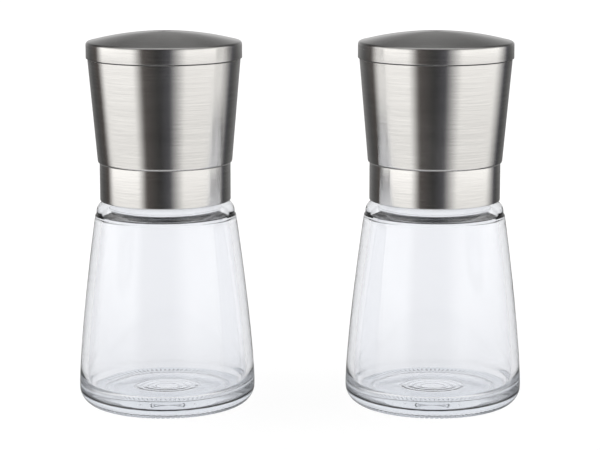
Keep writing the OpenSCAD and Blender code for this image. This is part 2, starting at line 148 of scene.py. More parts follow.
def turned(name, outline, closed=True, segments=192):
    # turns an outline of (radius, height), in millimetres, once round the salt mill's axis
    deselectAll()
    first = Vector((saltX + outline[0][0] * mm, 0, outline[0][1] * mm))
    bpy.ops.mesh.primitive_plane_add(size=0.001, location=first)
    piece = bpy.context.object
    piece.name = name
    bpy.ops.object.mode_set(mode="EDIT")
    bpy.ops.mesh.merge(type="CENTER")
    for here, there in zip(outline, outline[1:]):
        step = ((there[0] - here[0]) * mm, 0, (there[1] - here[1]) * mm)
        bpy.ops.mesh.extrude_region_move(TRANSFORM_OT_translate={"value": step})
    bpy.ops.mesh.select_all(action="SELECT")
    if closed:
        bpy.ops.object.mode_set(mode="OBJECT")
        chain = piece.data
        ends = [v.index for v in chain.vertices if sum(v.index in e.vertices for e in chain.edges) == 1]
        for element in list(chain.edges) + list(chain.vertices):
            element.select = False
        for index in ends:
            chain.vertices[index].select = True
        bpy.ops.object.mode_set(mode="EDIT")
        bpy.ops.mesh.edge_face_add()
        bpy.ops.mesh.select_all(action="SELECT")
    bpy.ops.mesh.spin(steps=segments, angle=2 * math.pi, center=(saltX, 0, 0), axis=(0, 0, 1))
    bpy.ops.mesh.select_all(action="SELECT")
    bpy.ops.mesh.remove_doubles(threshold=mergeReach)
    bpy.ops.mesh.normals_make_consistent(inside=False)
    bpy.ops.object.mode_set(mode="OBJECT")
    settle(piece)
    return piece


def wrapUv(piece):
    # u runs once round the axis, v grows up the walls and in towards the middle, in decimetres
    mesh = piece.data
    layer = mesh.uv_layers.new(name="turning")
    for face in mesh.polygons:
        middle = math.atan2(face.center.y, face.center.x - saltX)
        for loop in face.loop_indices:
            spot = mesh.vertices[mesh.loops[loop].vertex_index].co
            radius = math.hypot(spot.x - saltX, spot.y)
            angle = math.atan2(spot.y, spot.x - saltX) if radius > onAxis else middle
            angle += 2 * math.pi * round((middle - angle) / (2 * math.pi))
            layer.data[loop].uv = (angle / (2 * math.pi), (spot.z - radius) * 10)


def selectVertices(piece, test):
    # selects, in edit mode, the vertices whose radius, angle and height in millimetres pass the test
    makeActive(piece)
    mesh = piece.data
    for element in list(mesh.polygons) + list(mesh.edges) + list(mesh.vertices):
        element.select = False
    for v in mesh.vertices:
        radius = math.hypot(v.co.x - saltX, v.co.y) / mm
        v.select = test(radius, math.atan2(v.co.y, v.co.x - saltX), v.co.z / mm)
    bpy.ops.object.mode_set(mode="EDIT")
    bpy.ops.mesh.select_mode(type="VERT")


def reshape(piece, rule):
    # gives each vertex the radius that the rule makes from its radius, angle and height
    for v in piece.data.vertices:
        radius = math.hypot(v.co.x - saltX, v.co.y) / mm
        if radius < onAxis:
            continue
        grow = rule(radius, math.atan2(v.co.y, v.co.x - saltX), v.co.z / mm) / radius
        v.co.x = saltX + (v.co.x - saltX) * grow
        v.co.y *= grow


def combine(piece, other, operation):
    # joins the other shape to the piece, or cuts it away
    makeActive(piece)
    modifier = piece.modifiers.new("combine", "BOOLEAN")
    modifier.operation = operation
    modifier.solver = "EXACT"
    modifier.object = other
    applyAll(piece)
    bpy.data.objects.remove(other)
    bpy.ops.object.mode_set(mode="EDIT")
    bpy.ops.mesh.select_all(action="SELECT")
    bpy.ops.mesh.remove_doubles(threshold=cleanReach)
    bpy.ops.mesh.dissolve_degenerate(threshold=cleanReach)
    bpy.ops.mesh.quads_convert_to_tris()
    bpy.ops.object.mode_set(mode="OBJECT")


def block(radius, turn, depth, width, low, high, edge=0.0):
    # a box at a radius from the salt mill's axis, turned round it, with soft edges
    deselectAll()
    place = (saltX + radius * mm * math.cos(turn), radius * mm * math.sin(turn), (low + high) / 2 * mm)
    bpy.ops.mesh.primitive_cube_add(size=1, location=place, rotation=(0, 0, turn),
                                    scale=(depth * mm, width * mm, (high - low) * mm))
    box = bpy.context.object
    settle(box)
    if edge:
        bevel = box.modifiers.new("edges", "BEVEL")
        bevel.width = edge * mm
        bevel.segments = 2
        applyAll(box)
    return box


def newMaterial(name):
    material = bpy.data.materials.new(name)
    material.use_nodes = True
    tree = material.node_tree
    return material, tree, tree.nodes["Principled BSDF"]


def link(tree, source, target):
    tree.links.new(source, target)


def mathNode(tree, operation, first, second=None):
    node = tree.nodes.new("ShaderNodeMath")
    node.operation = operation
    for socket, value in zip(node.inputs, (first, second)):
        if value is None:
            continue
        if isinstance(value, (int, float)):
            socket.default_value = value
        else:
            link(tree, value, socket)
    return node.outputs[0]


def rampNode(tree, source, stops):
    node = tree.nodes.new("ShaderNodeValToRGB")
    link(tree, source, node.inputs[0])
    ramp = node.color_ramp
    while len(ramp.elements) > 1:
        ramp.elements.remove(ramp.elements[-1])
    for i, (place, colour) in enumerate(stops):
        stop = ramp.elements[0] if i == 0 else ramp.elements.new(place)
        stop.position = place
        stop.color = (*colour, 1) if len(colour) == 3 else colour
    return node.outputs[0]


def rangeNode(tree, source, low, high, toLow, toHigh):
    node = tree.nodes.new("ShaderNodeMapRange")
    link(tree, source, node.inputs[0])
    for socket, value in zip(node.inputs[1:5], (low, high, toLow, toHigh)):
        socket.default_value = value
    return node.outputs[0]


def noiseNode(tree, vector, scale, detail=2.0, roughness=0.5):
    node = tree.nodes.new("ShaderNodeTexNoise")
    if vector is not None:
        link(tree, vector, node.inputs["Vector"])
    node.inputs["Scale"].default_value = scale
    node.inputs["Detail"].default_value = detail
    node.inputs["Roughness"].default_value = roughness
    return node.outputs[0]


def bumpNode(tree, shader, height, strength, distance):
    node = tree.nodes.new("ShaderNodeBump")
    node.inputs["Strength"].default_value = strength
    node.inputs["Distance"].default_value = distance
    link(tree, height, node.inputs["Height"])
    link(tree, node.outputs[0], shader.inputs["Normal"])
    return node


def objectCoordinates(tree):
    return tree.nodes.new("ShaderNodeTexCoord").outputs["Object"]


steelFinish = {
    "dark": (0.61, 0.60, 0.588),
    "light": (0.765, 0.755, 0.74),
    "smoothest": 0.17,
    "roughest": 0.25,
    "anisotropy": 1.0,
    "lineBreaks": 1.5,          # the larger, the shorter the brushing lines
    "linesPerDecimetre": 380,
    "lineDepth": 0.00002,
    "lineStrength": 0.35,
    "cloudScale": 45,           # slow change of sheen over the whole surface
    "cloudSheen": (-0.02, 0.03),
}


def makeBrushedSteel(finish=steelFinish):
    material, tree, shader = newMaterial("brushedSteel")
    uv = tree.nodes.new("ShaderNodeUVMap")
    uv.uv_map = "turning"
    split = tree.nodes.new("ShaderNodeSeparateXYZ")
    link(tree, uv.outputs[0], split.inputs[0])
    angle = mathNode(tree, "MULTIPLY", split.outputs[0], 2 * math.pi)
    wrap = tree.nodes.new("ShaderNodeCombineXYZ")
    for i, wave in enumerate(("COSINE", "SINE")):
        swing = mathNode(tree, wave, angle)
        link(tree, mathNode(tree, "MULTIPLY", swing, finish["lineBreaks"]), wrap.inputs[i])
    link(tree, mathNode(tree, "MULTIPLY", split.outputs[1], finish["linesPerDecimetre"]), wrap.inputs[2])
    lines = noiseNode(tree, wrap.outputs[0], 1.0, 5, 0.78)
    cloud = noiseNode(tree, objectCoordinates(tree), finish["cloudScale"], 2)
    colour = rampNode(tree, lines, [(0.3, finish["dark"]), (0.7, finish["light"])])
    link(tree, colour, shader.inputs["Base Color"])
    rough = rangeNode(tree, lines, 0.3, 0.7, finish["smoothest"], finish["roughest"])
    sheen = rangeNode(tree, cloud, 0.3, 0.7, *finish["cloudSheen"])
    link(tree, mathNode(tree, "ADD", rough, sheen), shader.inputs["Roughness"])
    shader.inputs["Metallic"].default_value = 1
    shader.inputs["Anisotropic"].default_value = finish["anisotropy"]
    shader.inputs["Anisotropic Rotation"].default_value = 0.25
    tangent = tree.nodes.new("ShaderNodeTangent")
    tangent.direction_type = "UV_MAP"
    tangent.uv_map = "turning"
    link(tree, tangent.outputs[0], shader.inputs["Tangent"])
    bumpNode(tree, shader, lines, finish["lineStrength"], finish["lineDepth"])
    return material


glassFinish = {
    "colour": (0.912, 0.918, 0.936),
    "index": 1.5,
    "depthColour": (0.53, 0.57, 0.63),      # colour of thick glass, and how soon it shows
    "depthDensity": 12.0,
    "footTop": 0.0012,          # the ring that the jar stands on is frosted below this height
    # painted shade: the glass at the foot is coloured darker, standing in for the contact shadow that the
    # jars don't cast
    "paintedFootShade": (0.60, 0.64, 0.70),
    "footRoughness": 0.42,
    "waveScale": 38,
    "waveStrength": 0.25,
    "waveDepth": 0.00025,
}


def makeGlass(finish=glassFinish):
    material, tree, shader = newMaterial("clearGlass")
    place = objectCoordinates(tree)
    shader.inputs["IOR"].default_value = finish["index"]
    shader.inputs["Transmission Weight"].default_value = 1
    split = tree.nodes.new("ShaderNodeSeparateXYZ")
    link(tree, place, split.inputs[0])
    footTop = finish["footTop"]
    frost = rangeNode(tree, split.outputs[2], footTop * 0.6, footTop, finish["footRoughness"], 0)
    link(tree, frost, shader.inputs["Roughness"])
    # painted shade: the colour darkens down to the bottom of the foot, in place of a contact shadow
    rise = rangeNode(tree, split.outputs[2], footTop * 0.8, footTop * 1.6, 0, 1)
    colour = rampNode(tree, rise, [(0, finish["paintedFootShade"]), (1, finish["colour"])])
    link(tree, colour, shader.inputs["Base Color"])
    waves = noiseNode(tree, place, finish["waveScale"], 1)
    bumpNode(tree, shader, waves, finish["waveStrength"], finish["waveDepth"])
    depth = tree.nodes.new("ShaderNodeVolumeAbsorption")
    depth.inputs["Color"].default_value = (*finish["depthColour"], 1)
    depth.inputs["Density"].default_value = finish["depthDensity"]
    link(tree, depth.outputs[0], tree.nodes["Material Output"].inputs["Volume"])
    return material


blackFinish = {"dark": (0.018, 0.018, 0.019), "light": (0.03, 0.03, 0.032), "sheen": (0.33, 0.45)}
nylonFinish = {"dark": (0.76, 0.75, 0.70), "light": (0.83, 0.82, 0.78), "sheen": (0.37, 0.49)}
mouldGrain = {"fineScale": 5200, "fineStrength": 0.5, "fineDepth": 0.00003, "broadScale": 90}


def makePlastic(name, finish, grain=mouldGrain):
    # moulded plastic: fine eroded grain, and a soft change of sheen over the part
    material, tree, shader = newMaterial(name)
    place = objectCoordinates(tree)
    fine = noiseNode(tree, place, grain["fineScale"], 3, 0.6)
    broad = noiseNode(tree, place, grain["broadScale"], 2)
    colour = rampNode(tree, broad, [(0.3, finish["dark"]), (0.7, finish["light"])])
    link(tree, colour, shader.inputs["Base Color"])
    link(tree, rangeNode(tree, broad, 0.3, 0.7, *finish["sheen"]), shader.inputs["Roughness"])
    bumpNode(tree, shader, fine, grain["fineStrength"], grain["fineDepth"])
    return material


ceramicFinish = {"dark": (0.80, 0.77, 0.70), "light": (0.90, 0.88, 0.83), "roughness": 0.5, "glow": 0.1,
                 "glowReach": (0.001, 0.0008, 0.0006), "cloudScale": 160, "grainScale": 3400,
                 "grainStrength": 0.4, "grainDepth": 0.00004}


def makeCeramic(finish=ceramicFinish):
    material, tree, shader = newMaterial("firedCeramic")
    place = objectCoordinates(tree)
    grain = noiseNode(tree, place, finish["grainScale"], 4, 0.7)
    broad = noiseNode(tree, place, finish["cloudScale"], 3)
    colour = rampNode(tree, broad, [(0.25, finish["dark"]), (0.75, finish["light"])])
    link(tree, colour, shader.inputs["Base Color"])
    shader.inputs["Roughness"].default_value = finish["roughness"]
    shader.inputs["Subsurface Weight"].default_value = finish["glow"]
    shader.inputs["Subsurface Radius"].default_value = finish["glowReach"]
    bumpNode(tree, shader, grain, finish["grainStrength"], finish["grainDepth"])
    return material


wireFinish = {"dark": (0.42, 0.42, 0.42), "light": (0.6, 0.6, 0.6), "sheen": (0.16, 0.32), "grainScale": 900}


def makeWireSteel(finish=wireFinish):
    material, tree, shader = newMaterial("drawnSteel")
    grain = noiseNode(tree, objectCoordinates(tree), finish["grainScale"], 3)
    colour = rampNode(tree, grain, [(0.3, finish["dark"]), (0.7, finish["light"])])
    link(tree, colour, shader.inputs["Base Color"])
    link(tree, rangeNode(tree, grain, 0.3, 0.7, *finish["sheen"]), shader.inputs["Roughness"])
    shader.inputs["Metallic"].default_value = 1
    return material


siliconeFinish = {"dark": (0.60, 0.62, 0.63), "light": (0.72, 0.73, 0.73), "sheen": (0.38, 0.5),
                  "clearness": 0.25, "index": 1.41, "cloudScale": 240, "grainScale": 2600,
                  "grainStrength": 0.3, "grainDepth": 0.00003}


def makeSilicone(finish=siliconeFinish):
    material, tree, shader = newMaterial("siliconeRubber")
    place = objectCoordinates(tree)
    broad = noiseNode(tree, place, finish["cloudScale"], 3)
    colour = rampNode(tree, broad, [(0.3, finish["dark"]), (0.7, finish["light"])])
    link(tree, colour, shader.inputs["Base Color"])
    link(tree, rangeNode(tree, broad, 0.3, 0.7, *finish["sheen"]), shader.inputs["Roughness"])
    shader.inputs["Transmission Weight"].default_value = finish["clearness"]
    shader.inputs["IOR"].default_value = finish["index"]
    grain = noiseNode(tree, place, finish["grainScale"], 2)
    bumpNode(tree, shader, grain, finish["grainStrength"], finish["grainDepth"])
    return material


steel = makeBrushedSteel()
glass = makeGlass()
blackPlastic = makePlastic("blackPlastic", blackFinish)
nylon = makePlastic("naturalNylon", nylonFinish)
ceramic = makeCeramic()
wireSteel = makeWireSteel()
silicone = makeSilicone()
print("materials made")


def finishPiece(piece, node, body, material):
    # dresses the salt mill's piece, copies it to the pepper mill, and ties both to their bodies
    piece.data.materials.clear()
    piece.data.materials.append(material)
    twin = piece.copy()
    twin.data = piece.data.copy()
    twin.name = piece.name.replace("salt", "pepper")
    bpy.context.scene.collection.objects.link(twin)
    twin.data.transform(Matrix.Translation((millStep, 0, 0)))
    pieces = [piece, twin]
    for mill, each in zip(millNames, pieces):
        each.visible_glossy = material is glass        # a mill isn't mirrored in its neighbour
        if body:
            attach(each, mill + "_" + body)
        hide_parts(mill + "_" + node)
    print("made", node)
    return pieces


# glass jar
jarShape = {
    "footRound": 6.5,
    "bearingWidth": 2.5,
    "pushUp": 2.0,
    "wall": 2.8,
    "floor": 4.0,
    "wallStart": 8.0,
    "wallBend": 1.35,
    "shoulder": 75.8,
    "beadHeight": 5.0,
    "beadRound": 3.8,
    "beadRadius": 25.4,
    "wallTop": 25.9,
    "neck": 20.2,
    "neckWall": 3.2,
    "rimRound": 0.9,
    "rings": [(12.6, 0.6), (10.2, 0.35), (7.4, 0.35), (4.6, 0.3)],   # steps underneath: radius and depth
    "ripples": 96,
    "rippleDepth": 0.45,
    "leanReach": 9,             # blown glass: the floor inside is a little thicker to one side
    "leanRadius": 22,
    "leanClear": 1.5,           # how far from the outside it keeps away
    "threadPitch": 4.0,
    "threadStart": 2.2,         # the first turn's height over the shoulder
    "threadTurns": 1.6,
    "threadDepth": 1.1,
    "threadRoot": 1.2,          # half the ridge's width at the neck, and at its crest
    "threadCrest": 0.5,
}


def jarRadius(z, shape=jarShape):
    baseRadius = nodeSpan("jar")[0]
    top = shape["shoulder"] - shape["beadHeight"]
    share = max(0, z - shape["wallStart"]) / (top - shape["wallStart"])
    return baseRadius - (baseRadius - shape["wallTop"]) * share ** shape["wallBend"]


def jarOutline(shape=jarShape):
    baseRadius, _, rim = nodeSpan("jar")
    bearing = baseRadius - shape["footRound"]
    groove = shape["shoulder"] - shape["beadHeight"]
    under = [(0, shape["pushUp"])]
    level = shape["pushUp"]
    for radius, depth in reversed(shape["rings"]):
        under += softened([(radius - 0.9, level), (radius - 0.45, level, 0.2),
                           (radius - 0.2, level - depth, 0.2), (radius + 0.35, level - depth)],
                          closed=False, steps=2)
        level -= depth * 0.35
    inner = bearing - shape["bearingWidth"]
    under += softened([(inner - 3.5, 0.9), (inner - 1.2, 0.75, 0.8), (inner, 0.02, 0.5), (inner + 0.8, 0)],
                      closed=False, steps=3)
    heel = arc(bearing, shape["footRound"], shape["footRound"], -90, 0, 10)
    wall = [(jarRadius(z), z) for z in
            [shape["footRound"] + (groove - shape["footRound"]) * i / 30 for i in range(1, 30)]]
    bead = softened([(jarRadius(groove - 1.2), groove - 1.2), (jarRadius(groove), groove, 0.5),
                     (shape["beadRadius"] - 0.3, groove + 0.35, 0.3)], closed=False, steps=3)[1:]
    bead += arc(shape["beadRadius"] - shape["beadRound"], shape["shoulder"] - shape["beadRound"],
                shape["beadRound"], -8, 90, 12)
    neck = softened([(shape["neck"] + 1.0, shape["shoulder"]), (shape["neck"], shape["shoulder"], 0.7),
                     (shape["neck"], shape["shoulder"] + 1.0)], closed=False, steps=3)
    rows = round((rim - shape["rimRound"] - shape["shoulder"] - 1.3) / 0.3)
    neck += [(shape["neck"], shape["shoulder"] + 1.0 + 0.3 * i) for i in range(1, rows)]
    lip = arc(shape["neck"] - shape["rimRound"], rim - shape["rimRound"], shape["rimRound"], 0, 90, 5)
    bore = shape["neck"] - shape["neckWall"]
    lip += arc(bore + shape["rimRound"], rim - shape["rimRound"], shape["rimRound"], 90, 180, 5)
    innerTop = groove - 3
    wide = jarRadius(innerTop) - shape["wall"]
    neckLow = shape["shoulder"] + 2
    inside = [(wide + (bore - wide) * (1 + math.cos(math.pi * i / 14)) / 2,
               neckLow - (neckLow - innerTop) * i / 14) for i in range(15)]
    innerLow = shape["pushUp"] + shape["floor"] + 5
    inside += [(jarRadius(z) - shape["wall"], z) for z in
               [innerTop + (innerLow - innerTop) * i / 22 for i in range(1, 22)]]
    inside += arc(baseRadius - shape["wall"] - 5, innerLow, 5, -10, -82, 8)
    floor = shape["pushUp"] + shape["floor"]
    inside += [(20, floor + 0.1), (14, floor + 0.25), (8, floor + 0.45), (3, floor + 0.58), (0, floor + 0.6)]
    return under + heel + wall + bead + neck + lip + inside


def threadedRadius(radius, angle, z, shape=jarShape):
    # the neck stands out into a screw thread whose ends fade into it
    if abs(radius - shape["neck"]) > 0.02 or z < shape["shoulder"] + 0.9:
        return radius
    height = 0
    for turn in range(math.ceil(shape["threadTurns"])):
        along = (angle / (2 * math.pi)) % 1 + turn
        off = abs(z - shape["shoulder"] - shape["threadStart"] - shape["threadPitch"] * along)
        ridge = min(1, max(0, (shape["threadRoot"] - off) / (shape["threadRoot"] - shape["threadCrest"])))
        fade = min(1, max(0, along * 6), max(0, (shape["threadTurns"] - along) * 6))
        height = max(height, ridge * ridge * (3 - 2 * ridge) * fade)
    return radius + shape["threadDepth"] * height


def makeJar(shape=jarShape):
    jar = turned("salt_glass_jar", jarOutline(shape), closed=False, segments=shape["ripples"] * 4)
    inner = nodeSpan("jar")[0] - shape["footRound"] - shape["bearingWidth"]
    ripple = 2 * math.pi / shape["ripples"]
    selectVertices(jar, lambda radius, angle, z: radius > inner + 0.4 and z < 1.3
                   and abs((angle / ripple) % 1 - 0.5) < 0.2)
    bpy.ops.transform.translate(value=(0, 0, shape["rippleDepth"] * mm))
    bpy.ops.object.mode_set(mode="OBJECT")
    reshape(jar, threadedRadius)
    floorTop = shape["pushUp"] + shape["floor"]
    reach = shape["leanReach"]
    for v in jar.data.vertices:
        radius = math.hypot(v.co.x - saltX, v.co.y) / mm
        z = v.co.z / mm
        if floorTop - 0.1 < z < floorTop + reach and radius < jarRadius(z) - shape["leanClear"]:
            angle = math.atan2(v.co.y, v.co.x - saltX)
            share = min(1, radius / shape["leanRadius"]) ** 2 * max(0, 1 - (z - floorTop) / reach)
            v.co.z += share * (0.7 * math.cos(angle - 0.5) + 0.3 * math.sin(3 * angle + 0.8) + 0.5) * mm
    smooth(jar, 80)
    return jar


for jar in finishPiece(makeJar(), "jar", "jar", glass):
    jar.visible_diffuse = False
    jar.visible_shadow = False


# steel band round the collar
collarBand = {"wall": 0.5, "lip": 21.85, "edge": 0.3}


def makeCollarBand(shape=collarBand):
    radius, low, high = nodeSpan("collar_sleeve")
    outline = softened([
        (shape["lip"], low, 0.1), (radius, low, shape["edge"] * 1.6), (radius, high, shape["edge"]),
        (radius - shape["wall"], high, 0.1), (radius - shape["wall"], low + shape["wall"], 0.1),
        (shape["lip"], low + shape["wall"], 0.1)], steps=4)
    piece = turned("salt_collar_band", outline)
    wrapUv(piece)
    smooth(piece)
    return piece


finishPiece(makeCollarBand(), "collar_sleeve", "collar", steel)


# tapered steel head
headShell = {"wall": 0.6, "lip": 22.85, "bottom": 24.6, "edge": 0.7}


def makeHeadShell(shape=headShell):
    radius, low, high = nodeSpan("head_sleeve")
    wall = shape["wall"]
    outline = softened([
        (shape["lip"], low, 0.1), (shape["bottom"], low, shape["edge"]), (radius, high, 0.12),
        (radius - wall, high, 0.1), (shape["bottom"] - wall, low + wall, 0.2),
        (shape["lip"], low + wall, 0.1)], steps=5)
    piece = turned("salt_head_shell", outline)
    wrapUv(piece)
    smooth(piece)
    return piece


finishPiece(makeHeadShell(), "head_sleeve", "head", steel)


# lid
lidShell = {"wall": 0.6, "round": 1.1, "crown": 3.5, "hem": 0.15}


def makeLidShell(shape=lidShell):
    radius, low, high = nodeSpan("lid_cap")
    flat = radius - shape["round"]
    sideTop = high - shape["crown"]
    domeRadius = (flat ** 2 + shape["crown"] ** 2) / (2 * shape["crown"])
    half = math.degrees(math.asin(flat / domeRadius))
    centre = high - domeRadius
    outline = [(radius - shape["wall"], low + 0.1), (radius - shape["wall"] + 0.1, low)]
    outline += arc(radius - shape["hem"], low + shape["hem"], shape["hem"], -90, 0, 4)
    outline += arc(flat, sideTop - shape["round"], shape["round"], 0, 90 - half, 8)
    outline += arc(0, centre, domeRadius, 90 - half, 90, 28)[1:]
    outline += arc(0, centre, domeRadius - shape["wall"], 90, 90 - half, 14)
    outline += arc(flat, sideTop - shape["round"], shape["round"] - shape["wall"], 90 - half, 0, 4)
    piece = turned("salt_lid_shell", outline + [outline[0]], closed=False, segments=256)
    wrapUv(piece)
    smooth(piece)
    return piece


for lid in finishPiece(makeLidShell(), "lid_cap", "lid", steel):
    lid.visible_glossy = True           # it darkens the seam that it covers


# flat rings: inner radius, rounding of the edges, body, material and slot
flatRings = {
    "jar_seal": (17.3, 0.25, "seal", silicone, "silicone"),
    "slip_washer": (17.65, 0.12, "collar", nylon, "nylon"),
    "spring_washer": (3.69, 0.1, "burr", wireSteel, "spring_steel"),
    "burr_retainer": (12.3, 0.25, "head", blackPlastic, "black_plastic"),
}


def makeFlatRing(node, inner, edge):
    radius, low, high = nodeSpan(node)
    outline = softened([(inner, low, edge), (radius, low, edge), (radius, high, edge), (inner, high, edge)],
                       steps=4)
    ring = turned("salt_" + node + "_ring", outline, segments=128)
    smooth(ring)
    return ring


for node, (inner, edge, body, material, slotName) in flatRings.items():
    finishPiece(makeFlatRing(node, inner, edge), node, body, material)


# silicone ring on the lid's plug
lidSealShape = {"inner": 24.28}


def makeLidSeal(shape=lidSealShape):
    radius, low, high = nodeSpan("lid_seal")
    half = (high - low) / 2
    outline = [(shape["inner"], high), (shape["inner"], low)]
    outline += arc(radius - half, low + half, half, -90, 90, 14)
    ring = turned("salt_lid_gasket", outline, segments=160)
    smooth(ring, 40)
    return ring


finishPiece(makeLidSeal(), "lid_seal", "lid", silicone)


# plug under the lid
lidPlugShape = {"plug": 24.88, "wall": 1.4, "depth": 4.0, "grooveLow": 1.1, "grooveHigh": 2.6, "groove": 0.65,
                "deck": 1.4, "rim": 1.0, "soft": 0.3, "grooveSoft": 0.12,
                "stopInner": 6, "stopOuter": 9, "stopDrop": 0.4, "under": 0.2}     # a low ring under the deck


def makeLidPlug(shape=lidPlugShape):
    radius, low, high = nodeSpan("lid_liner")
    plug, seat, soft = shape["plug"], low + shape["depth"], shape["soft"]
    inside = plug - shape["wall"]
    under, stopLow = seat + shape["under"], seat - shape["stopDrop"]
    grooveLow, grooveHigh = low + shape["grooveLow"], low + shape["grooveHigh"]
    grooveRadius, grooveSoft = plug - shape["groove"], shape["grooveSoft"]
    rim, deck = radius - shape["rim"], seat + shape["deck"]
    outline = softened([
        (0, under), (shape["stopInner"], under, soft), (shape["stopInner"], stopLow, soft),
        (shape["stopOuter"], stopLow, soft), (shape["stopOuter"], under, soft), (inside, under, soft),
        (inside, low, soft), (plug, low, 0.4), (plug, grooveLow, grooveSoft),
        (grooveRadius, grooveLow, grooveSoft), (grooveRadius, grooveHigh, grooveSoft),
        (plug, grooveHigh, grooveSoft), (plug, seat, 0.15), (radius, seat, soft), (radius, high, soft),
        (rim, high, soft), (rim, deck, soft), (0, deck)], closed=False)
    plugPiece = turned("salt_lid_plug", outline, closed=False, segments=160)
    smooth(plugPiece)
    return plugPiece


finishPiece(makeLidPlug(), "lid_liner", "lid", blackPlastic)


# plastic lining of the head
headLiningShape = {"flangeBore": 17.6, "flange": 2.4, "wall": 1.5, "ledge": 117.55, "ledgeThick": 1.5,
                   "ledgeWidth": 1.6, "rimStep": 0.35, "bottom": 23.95, "soft": 0.25,
                   "keys": 3, "keyPlace": 1.25, "keyDepth": 2.1, "keyWidth": 3.0, "keyHeight": 2.0,
                   "keySink": 0.2}


def makeHeadLining(shape=headLiningShape):
    radius, low, high = nodeSpan("head_core")
    soft = shape["soft"]
    top = high - shape["rimStep"]
    slope = (radius - shape["bottom"]) / (top - low)

    def outside(z):
        return shape["bottom"] + slope * (z - low)

    def inside(z):
        return outside(z) - shape["wall"]

    ledge = shape["ledge"]
    deck = ledge + shape["ledgeThick"]
    lip = inside(deck) - shape["ledgeWidth"]
    flangeTop = low + shape["flange"]
    outline = softened([
        (shape["flangeBore"], low, soft), (outside(low), low, soft), (radius, top), (radius, high, soft),
        (inside(top), high, 0.5), (inside(deck), deck, 0.3), (lip, deck, soft), (lip, ledge + 0.6, soft),
        (inside(ledge - 1), ledge - 1, 0.4), (inside(flangeTop), flangeTop, 0.8),
        (shape["flangeBore"], flangeTop, soft)], steps=4)
    lining = turned("salt_head_lining", outline)
    for i in range(shape["keys"]):
        turnAngle = math.pi / 3 + i * 2 * math.pi / shape["keys"]
        key = block(lip + shape["keyPlace"], turnAngle, shape["keyDepth"], shape["keyWidth"],
                    deck - shape["keySink"], deck + shape["keyHeight"], soft)
        combine(lining, key, "UNION")
    smooth(lining)
    return lining


finishPiece(makeHeadLining(), "head_core", "head", blackPlastic)


# housing of the ring burr: a funnel below and a shallow dish above
housingShape = {"pocket": 13.6, "wall": 2.0, "lipWidth": 1.6, "lipSide": 120.45, "dish": 119.1,
                "dishWall": 1.8, "burrFoot": 109.65, "funnel": 17.95, "funnelWall": 1.5, "funnelTurn": 4.0,
                "throat": 11.8, "soft": 0.3, "lugs": 3, "lugWidth": 4.3, "lugIn": 12.5, "lugOut": 14.75,
                "lugLow": 116.9, "lugHigh": 123, "keyWidth": 3.3, "keyDepth": 1.6,
                "channelLow": 120.1, "channelHigh": 122}


def makeHousing(shape=housingShape):
    radius, low, high = nodeSpan("burr_housing")
    soft, pocket, dish, foot = shape["soft"], shape["pocket"], shape["dish"], shape["burrFoot"]
    tube = pocket + shape["wall"]
    turn = low + shape["funnelTurn"]
    mouth = shape["funnel"] + shape["funnelWall"]
    outline = softened([
        (pocket, foot - 0.05, 0.1), (pocket, high, soft), (pocket + shape["lipWidth"], high, soft),
        (tube, shape["lipSide"], 0.5), (radius - 0.6, dish + 2.4, soft),
        (radius, dish + shape["dishWall"], soft), (radius, dish, soft), (tube, dish, 0.5),
        (tube, foot - 1, 0.8), (mouth, turn, 0.8), (mouth, low, soft),
        (shape["funnel"], low, soft), (shape["funnel"], turn - 0.4, 0.8), (shape["throat"], foot - 2, 0.5),
        (shape["throat"], foot - 0.05, 0.15)], steps=4)
    housing = turned("salt_burr_seat", outline)
    lugIn, lugOut = shape["lugIn"], shape["lugOut"]
    for i in range(shape["lugs"]):
        turnAngle = i * 2 * math.pi / shape["lugs"]
        lug = block((lugOut + lugIn) / 2, turnAngle, lugOut - lugIn, shape["lugWidth"], shape["lugLow"],
                    shape["lugHigh"])
        combine(housing, lug, "DIFFERENCE")
        key = block(radius + 0.2, turnAngle + math.pi / 3, 2 * shape["keyDepth"] + 0.4, shape["keyWidth"],
                    dish - 1, dish + 4)
        combine(housing, key, "DIFFERENCE")
    channelLow, channelHigh = shape["channelLow"], shape["channelHigh"]
    channel = turned("channel", [(pocket - 1, channelLow), (lugOut, channelLow), (lugOut, channelHigh),
                                 (pocket - 1, channelHigh)])
    combine(housing, channel, "DIFFERENCE")
    smooth(housing)
    return housing


finishPiece(makeHousing(), "burr_housing", "head", blackPlastic)


# square spindle with a foot below and a screwed end above
spindleShape = {"bar": 3.0, "flat": 2.5, "corner": 3.4, "footHeight": 1.7, "footStep": 3.6,
                "shoulderZ": 118.45, "screw": 2.45, "screwLow": 0.3, "screwTop": 0.4, "tip": 0.45,
                "pitch": 1.0, "threadDepth": 0.32, "rowHeight": 0.11}


def spindleRadius(radius, angle, z, shape=spindleShape):
    # the round bar becomes square, and its upper end a screw
    if abs(radius - shape["bar"]) < 0.01:
        return min(shape["flat"] / max(abs(math.cos(angle)), abs(math.sin(angle))), shape["corner"])
    if abs(radius - shape["screw"]) < 0.01 and z > shape["shoulderZ"] + 0.4:
        phase = ((z - shape["shoulderZ"]) / shape["pitch"] - angle / (2 * math.pi)) % 1
        return radius - shape["threadDepth"] * (1 - abs(2 * phase - 1))
    return radius


def makeSpindle(shape=spindleShape):
    radius, low, high = nodeSpan("spindle")
    shoulder = shape["shoulderZ"]
    footTop = low + shape["footHeight"]
    bar, screw, row = shape["bar"], shape["screw"], shape["rowHeight"]
    outline = [(0, low)] + softened([(1, low), (radius, low, 0.3), (radius, footTop, 0.3),
                                     (shape["footStep"], footTop)], closed=False)
    outline += [(bar, footTop + 0.01), (bar, shoulder - 0.35), (bar - 0.25, shoulder),
                (screw - 0.3, shoulder + 0.01)]
    rows = round((high - shape["screwTop"] - shoulder - shape["screwLow"]) / row)
    outline += [(screw, shoulder + shape["screwLow"] + row * i) for i in range(rows)]
    outline += [(screw - shape["tip"], high), (0, high)]
    spindle = turned("salt_spindle_rod", outline, closed=False, segments=64)
    reshape(spindle, spindleRadius)
    smooth(spindle, 32)
    return spindle


